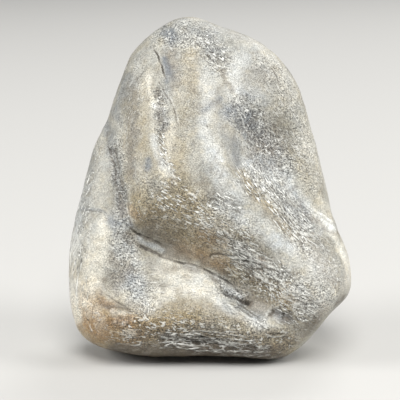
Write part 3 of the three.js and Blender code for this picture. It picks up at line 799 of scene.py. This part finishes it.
def mark_stone(mesh):
    """Works the marks into the surface, and keeps each kind of stain, of painted shade and of painted
    highlight as an attribute.
    """
    places = vertex_values(mesh.vertices, "co")
    normals = vertex_values(mesh.vertex_normals, "vector")
    points = places / MM
    facing = normals @ FACE_OUT
    front = smoothstep(facing, *FRONT_FADE)
    back = smoothstep(-facing, *BACK_FADE)
    u, v = face_places(places, 1)
    back_u, back_v = face_places(places, -1)
    drift_u, drift_v = layered(points, DRIFT, 0), layered(points, DRIFT, 1)
    waver_u, waver_v = layered(points, WAVER, 0), layered(points, WAVER, 1)

    def overlay(marks):
        return front * spread(u + drift_u, v + drift_v, marks)

    sides = side_stains(points, drift_u, drift_v)
    attributes = {
        name: overlay(marks) + (1 - front) * sides.get(name, 0) for name, marks in STAINS_AND_PAINTED_LIGHT.items()
    }

    height = layered(points, SWELLS)
    crest = np.zeros(len(points))
    back_at = (back_u + drift_u, back_v + drift_v)
    for name, (turn, length, width, grain_height, marks) in GRAIN.items():
        share = np.clip(overlay(marks) + back * spread(*back_at, BACK_GRAIN[name]), 0, 1)
        wrinkles = wrinkled(points, u, v, share, turn, length, width)
        crest += wrinkles
        height += grain_height * wrinkles
        attributes["grain_" + name] = share

    front_at = (u + waver_u, v + waver_v)
    height += front * (soft_height(*front_at, BUMPS) - soft_height(*front_at, DENTS))
    height += back * (soft_height(*back_at, BACK_BUMPS) - soft_height(*back_at, BACK_DENTS))
    back_at = (back_u + waver_u + BACK_DRIFT * drift_u, back_v + waver_v + BACK_DRIFT * drift_v)
    crack, ledge, shadow_under_ledge = line_marks(points, front, back, front_at, back_at)
    height += ledge - crack

    height *= smoothstep(places[:, 2], *FLOOR_FADE)
    moved = places + normals * (height * MM)[:, None]
    moved[:, 2] = np.maximum(moved[:, 2], 0)
    mesh.vertices.foreach_set("co", moved.ravel())

    attributes["crack"] = np.clip(crack / DARK_CRACK, 0, 1)
    attributes["ledge"] = np.clip(ledge / PALE_LEDGE, 0, 1)
    attributes["shadow_under_ledge"] = np.clip(shadow_under_ledge / FULL_LEDGE_SHADOW, 0, 1)
    attributes["crest"] = crest
    attributes["hollow"] = hollowness(mesh, moved / MM, normals, BROAD_PASSES)
    attributes["dip"] = hollowness(mesh, moved / MM, normals, FINE_PASSES)
    for name, values in attributes.items():
        attribute = mesh.attributes.new(name, "FLOAT", "POINT")
        attribute.data.foreach_set("value", values.astype(np.float32))
    mesh.shade_smooth()
    mesh.update()


class Nodes:
    """Adds nodes to a tree and joins them."""

    def __init__(self, tree):
        self.tree = tree

    def give(self, socket, value):
        """Joins an input to another node's socket, or sets it."""
        if isinstance(value, bpy.types.NodeSocket):
            self.tree.links.new(value, socket)
        else:
            socket.default_value = value

    def add(self, kind, inputs=(), **settings):
        """A node with its settings, then its inputs."""
        node = self.tree.nodes.new("ShaderNode" + kind)
        for name, value in settings.items():
            setattr(node, name, value)
        for name, value in dict(inputs).items():
            self.give(node.inputs[name], value)
        return node

    def math(self, operation, *values, clamp=False):
        return self.add("Math", enumerate(values), operation=operation, use_clamp=clamp).outputs[0]

    def vector(self, operation, *values):
        return self.add("VectorMath", enumerate(values), operation=operation).outputs[0]

    def mix(self, share, first, second, blend="MIX"):
        """The first colour, with that share of the second."""
        node = self.add("Mix", data_type="RGBA", blend_type=blend)
        used = [socket for socket in node.inputs if socket.enabled]
        for socket, value in zip(used, (share, first, second)):
            self.give(socket, value)
        return next(socket for socket in node.outputs if socket.enabled)

    def lay(self, colour, mask, share, over):
        """The colour with another over it, which has its full share where the mask is 1."""
        return self.mix(self.math("MULTIPLY", mask, share), colour, over)

    def shade(self, colour, value, shades, blend="MIX"):
        """The colour with shades over it that follow a value."""
        for low, high, share, over in shades:
            colour = self.mix(self.rise(value, low, high, 0.0, share), colour, over, blend)
        return colour

    def rise(self, value, low, high, start=0.0, end=1.0):
        """An S that goes from start at low to end at high."""
        inputs = {"Value": value, "From Min": low, "From Max": high, "To Min": start, "To Max": end}
        return self.add("MapRange", inputs, interpolation_type="SMOOTHSTEP").outputs["Result"]

    def attribute(self, name):
        return self.add("Attribute", attribute_name=name).outputs["Fac"]

    def noise(self, places, size, detail=2.0, roughness=0.5, distortion=0.0):
        """Noise of about that size, 0 to 1."""
        shape = {"Detail": detail, "Roughness": roughness, "Distortion": distortion}
        return self.add("TexNoise", {"Vector": places, "Scale": 1 / size, **shape}).outputs["Fac"]

    def lines(self, places, size, low, high, distortion):
        """Thin curling lines, where noise of that size passes its middle: none at low, 1 at high."""
        field = self.noise(places, size, 1, 0.5, distortion)
        off_line = self.math("ABSOLUTE", self.math("SUBTRACT", field, 0.5))
        return self.rise(off_line, low, high)


def flecks_group():
    """Short wavering flecks that all run one way, and the painted shadow lines under them."""
    group = bpy.data.node_groups.new("flecks", "ShaderNodeTree")
    group.interface.new_socket("Places", in_out="INPUT", socket_type="NodeSocketVector")
    for name in ("Turn", "Length", "Width", "Share"):
        group.interface.new_socket(name, in_out="INPUT", socket_type="NodeSocketFloat")
    for name in ("Pale", "Shadow"):
        group.interface.new_socket(name, in_out="OUTPUT", socket_type="NodeSocketFloat")
    nodes = Nodes(group)
    given = group.nodes.new("NodeGroupInput").outputs
    turned = nodes.add(
        "VectorRotate",
        {"Vector": given["Places"], "Axis": (0, 1, 0), "Angle": given["Turn"]},
        rotation_type="AXIS_ANGLE",
    ).outputs[0]
    size = nodes.add("CombineXYZ", {"X": given["Length"], "Y": given["Width"], "Z": given["Width"]})
    stretched = nodes.vector("DIVIDE", turned, size.outputs[0])
    # A low share makes the flecks sparse before it makes them faint.
    gaps = nodes.noise(stretched, *FLECK_GAPS)
    gaps = nodes.math("MULTIPLY_ADD", nodes.math("SUBTRACT", given["Share"], 1.0), SPARSE, gaps)
    strength = nodes.math("MULTIPLY", given["Share"], FULL_FLECKS, clamp=True)

    pale = nodes.lines(stretched, *PALE_FLECKS)
    pale = nodes.math("MULTIPLY", pale, nodes.rise(gaps, *PALE_GAPS))
    below = nodes.vector("ADD", stretched, (0, 0, FLECK_SHADOW))
    shadow_lines = nodes.lines(below, *PAINTED_SHADOW_LINES)
    shadow_lines = nodes.math("MULTIPLY", shadow_lines, nodes.rise(gaps, *SHADOW_LINE_GAPS))
    shadow_lines = nodes.math("MULTIPLY", shadow_lines, nodes.math("SUBTRACT", 1.0, pale))
    result = group.nodes.new("NodeGroupOutput").inputs
    group.links.new(nodes.math("MULTIPLY", pale, strength), result["Pale"])
    group.links.new(nodes.math("MULTIPLY", shadow_lines, strength), result["Shadow"])
    return group


def flecked(nodes, places):
    """The shares of pale flecks and of the painted shadow lines under them, from each way that they run,
    and of all of them.
    """
    group = flecks_group()
    share, *run = SCATTERED
    runs = [(nodes.math("MULTIPLY", nodes.attribute("frost"), share), *run)]
    for name, (turn, length, width, _, _) in GRAIN.items():
        run = math.radians(turn), FLECK_LENGTH * length, FLECK_WIDTH * width
        runs.append((nodes.attribute("grain_" + name), *run))
    pale, shadow_lines, between = 0.0, 0.0, 0.0
    for share, turn, length, width in runs:
        size = {"Length": length * MM, "Width": width * MM}
        inputs = {"Places": places, "Turn": turn, "Share": share, **size}
        flecks = nodes.add("Group", inputs, node_tree=group).outputs
        pale = nodes.math("MAXIMUM", flecks["Pale"], pale)
        shadow_lines = nodes.math("MAXIMUM", flecks["Shadow"], shadow_lines)
        between = nodes.math("MAXIMUM", share, between)
    return pale, shadow_lines, between


def stained_and_painted_light(nodes, places, mottle):
    """Clouded grey, with painted shade in hollows and the stains, painted shade and highlights on it,
    their edges broken up by the stone's unevenness.
    """
    patch_share, mottle_share = UNEVENNESS
    unevenness = nodes.math("MULTIPLY", nodes.noise(places, *PATCHES), patch_share)
    unevenness = nodes.math("MULTIPLY_ADD", mottle, mottle_share, unevenness)
    unevenness = nodes.math("SUBTRACT", unevenness, (patch_share + mottle_share) / 2)
    colour = nodes.shade(WARM_GREY, nodes.noise(places, *HAZE), HAZE_SHADES)
    # Painted shade in broad hollows, paler ridges.
    colour = nodes.shade(colour, nodes.attribute("hollow"), HOLLOW_SHADES)
    # Stains, painted shade and painted highlights, one over another.
    for name, overlay in STAIN_AND_PAINTED_LIGHT_COLOURS.items():
        share = nodes.attribute(name)
        edge = nodes.math("MULTIPLY", share, nodes.math("SUBTRACT", EDGE_REACH, share))
        share = nodes.math("MULTIPLY_ADD", unevenness, edge, share, clamp=True)
        colour = nodes.mix(share, colour, overlay)
    return colour


def sandy(nodes, places, speckle):
    """How far sand-fine grain, curled hairlines and the painted shadow lines under them lighten or
    darken the stone, and the hairlines.
    """
    frosted = nodes.attribute("frost")
    grit_share = nodes.math("MULTIPLY_ADD", frosted, *GRIT_SHARE, clamp=True)
    tone = nodes.math("MULTIPLY_ADD", nodes.rise(speckle, *GRIT), grit_share, 1.0)
    sand = nodes.noise(places, *SAND)
    sand = nodes.math("SUBTRACT", nodes.rise(sand, *PALE_SAND), nodes.rise(sand, *DARK_SAND))
    tone = nodes.math("MULTIPLY_ADD", sand, frosted, tone)

    pieces = nodes.rise(nodes.noise(places, *HAIR_PIECES), *HAIR_ENDS)
    hair_share = nodes.math("MULTIPLY_ADD", frosted, *HAIR_SHARE, clamp=True)
    hair_share = nodes.math("MULTIPLY", pieces, hair_share)
    # A painted shadow line lies just below each hairline.
    above = nodes.vector("ADD", places, (0, 0, HAIR_SHADOW))
    hair = nodes.math("MULTIPLY", nodes.lines(places, *HAIRS), hair_share)
    shadow = nodes.math("MULTIPLY", nodes.lines(above, *HAIRS), hair_share)
    tone = nodes.math("MULTIPLY_ADD", shadow, HAIR_SHADOW_SHARE, tone)
    tone = nodes.math("MULTIPLY_ADD", hair, HAIR_PALE, tone)
    return nodes.math("MAXIMUM", tone, DARKEST), hair


def polished_stone():
    """Waxy, worn stone: clouded grey, stained with slate, tan, rust and cream, with painted shade and
    highlights, and finely flecked.
    """
    material = bpy.data.materials.new("polished_stone")
    material.use_nodes = True
    nodes = Nodes(material.node_tree)
    shader = material.node_tree.nodes["Principled BSDF"].inputs
    places = nodes.add("TexCoord").outputs["Object"]
    speckle = nodes.noise(places, *SPECKLE)
    mottle = nodes.noise(places, *MOTTLE)
    tone, hair = sandy(nodes, places, speckle)
    pale, shadow_lines, between = flecked(nodes, places)

    colour = stained_and_painted_light(nodes, places, mottle)
    colour = nodes.shade(colour, nodes.noise(places, *BLOTCHES), BLOTCH_SHADES)
    colour = nodes.shade(colour, nodes.noise(places, *TINT), TINT_SHADES, "MULTIPLY")
    # Painted shade in fine dips, paler fine crests.
    colour = nodes.shade(colour, nodes.attribute("dip"), DIP_SHADES)
    colour = nodes.mix(1.0, colour, tone, "MULTIPLY")
    colour = nodes.lay(colour, between, BETWEEN_SHARE, FLECK_DARK)
    # The flecks' painted shadow lines.
    colour = nodes.lay(colour, shadow_lines, SHADOW_LINE_SHARE, FLECK_DARK)
    colour = nodes.lay(colour, pale, PALE_SHARE, CHALK_WHITE)
    # Painted highlights on wrinkle crests, painted shade between them.
    colour = nodes.shade(colour, nodes.attribute("crest"), CREST_SHADES)
    # Painted shadow lines under ledges, pale ledges partly painted highlight, cracks dark partly as
    # painted shade.
    for name, (share, line_colour) in LINE_COLOURS.items():
        colour = nodes.lay(colour, nodes.attribute(name), share, line_colour)
    nodes.give(shader["Base Color"], colour)

    rough = nodes.rise(mottle, *ROUGHNESS)
    rough = nodes.math("MULTIPLY_ADD", nodes.attribute("crack"), CRACK_ROUGHNESS, rough, clamp=True)
    nodes.give(shader["Roughness"], rough)

    height = 0.0
    for mask, relief in zip((speckle, pale, shadow_lines, hair), RELIEF):
        height = nodes.math("MULTIPLY_ADD", mask, relief, height)
    bump = nodes.add("Bump", {"Height": height, "Distance": RELIEF_HEIGHT, "Strength": 1.0})
    nodes.give(shader["Normal"], bump.outputs["Normal"])
    return material


def pale_floor():
    """A plain matt finish."""
    material = bpy.data.materials.new("pale_floor")
    material.use_nodes = True
    shader = material.node_tree.nodes["Principled BSDF"].inputs
    shader["Base Color"].default_value = FLOOR_COLOUR
    shader["Roughness"].default_value = FLOOR_ROUGHNESS
    return material


def new_object(name, data):
    """An object that is in the scene."""
    item = bpy.data.objects.new(name, data)
    bpy.context.scene.collection.objects.link(item)
    return item


def make_stone():
    """The whole stone, in place of the plain one."""
    mesh = divided_stone(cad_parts["gastrolith"])
    mark_stone(mesh)
    mesh.materials.append(polished_stone())
    stone = new_object("stone_surface", mesh)
    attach(stone, "root")
    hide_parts("gastrolith")


def make_floor():
    """A wide, plain, pale floor."""
    bm = bmesh.new()
    bmesh.ops.create_grid(bm, x_segments=1, y_segments=1, size=FLOOR_REACH)
    mesh = bpy.data.meshes.new("floor")
    bm.to_mesh(mesh)
    bm.free()
    mesh.materials.append(pale_floor())
    new_object("floor", mesh)


def make_lights():
    """A broad soft light in front, one to either side, one behind, and a dim, even glow all round."""
    for name, (place, width, power) in LIGHTS.items():
        lamp = bpy.data.lights.new(name, "AREA")
        lamp.shape = "DISK"
        lamp.size = width
        lamp.energy = power
        lamp.color = LIGHT_COLOUR
        softbox = new_object(name, lamp)
        softbox.location = place
        softbox.rotation_euler = (-Vector(place)).to_track_quat("-Z", "Y").to_euler()
    world = bpy.data.worlds.new("studio")
    world.use_nodes = True
    glow = world.node_tree.nodes["Background"].inputs
    glow["Color"].default_value = GLOW_COLOUR
    glow["Strength"].default_value = GLOW_STRENGTH
    bpy.context.scene.world = world


def make_camera():
    """Straight in front of the broad face."""
    lens = bpy.data.cameras.new("camera")
    lens.lens = LENS
    camera = new_object("camera", lens)
    camera.location = FACE_MIDDLE + FACE_OUT * EYE_DISTANCE
    camera.rotation_euler = (-FACE_OUT).to_track_quat("-Z", "Y").to_euler()
    bpy.context.scene.camera = camera


make_camera()
make_floor()
make_lights()
make_stone()
bpy.context.scene.view_settings.view_transform = "Standard"
